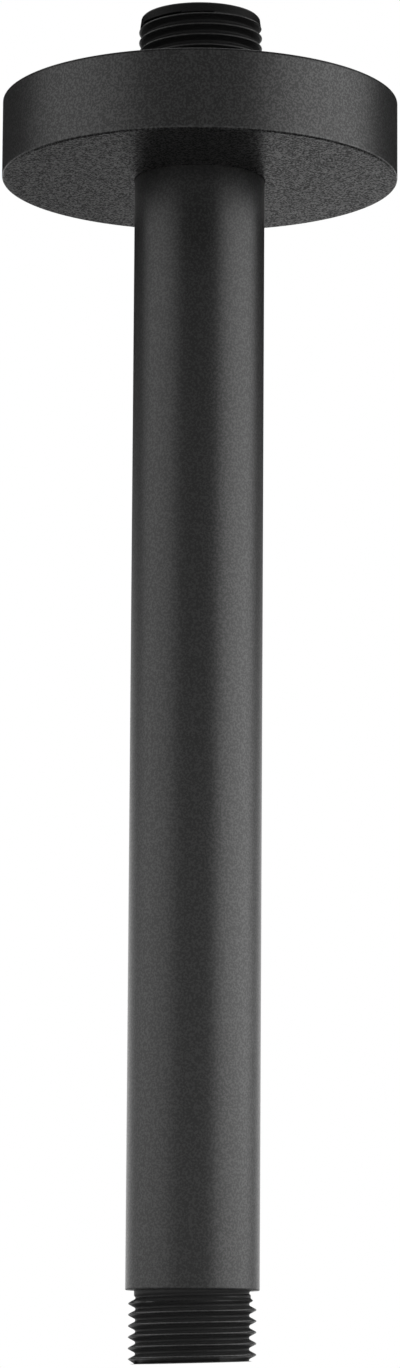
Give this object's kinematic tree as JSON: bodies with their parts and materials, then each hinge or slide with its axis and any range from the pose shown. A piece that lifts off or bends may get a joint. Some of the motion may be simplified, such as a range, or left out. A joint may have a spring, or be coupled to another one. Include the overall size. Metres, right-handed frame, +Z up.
{
  "type": "shower arm",
  "caption": "Straight ceiling shower arm: a round satin black pipe, threaded at its top and bottom ends, with a round cover flange that slides and turns on it.",
  "frame": {"origin": "on the arm's axis in the ceiling plane, level with the flange's upper rim, inside the upper thread's span", "axes": "+Z up along the arm's axis, out of the upper end and into the ceiling; -Z down the arm to the shower head; X and Y are alike because every piece is turned about Z, and the picture is taken looking along +Y"},
  "size_m": [0.067, 0.067, 0.2269],
  "materials": {
    "black_coat": "satin",
    "ring_rubber": "matte"
  },
  "bodies": {
    "arm": {"arm_pipe": "black_coat"},
    "ring": {"grip_ring": "ring_rubber"},
    "rose": {"flange": "black_coat"}
  },
  "joints": [
    {"name": "flange_slide", "type": "slide", "parent": "arm", "child": "ring", "axis": [0, 0, -1], "range_m": [0, 0.186]},
    {"name": "flange_turn", "type": "hinge", "parent": "ring", "child": "rose", "pos_m": [0, 0, 0], "axis": [0, 0, 1], "continuous": true}
  ]
}
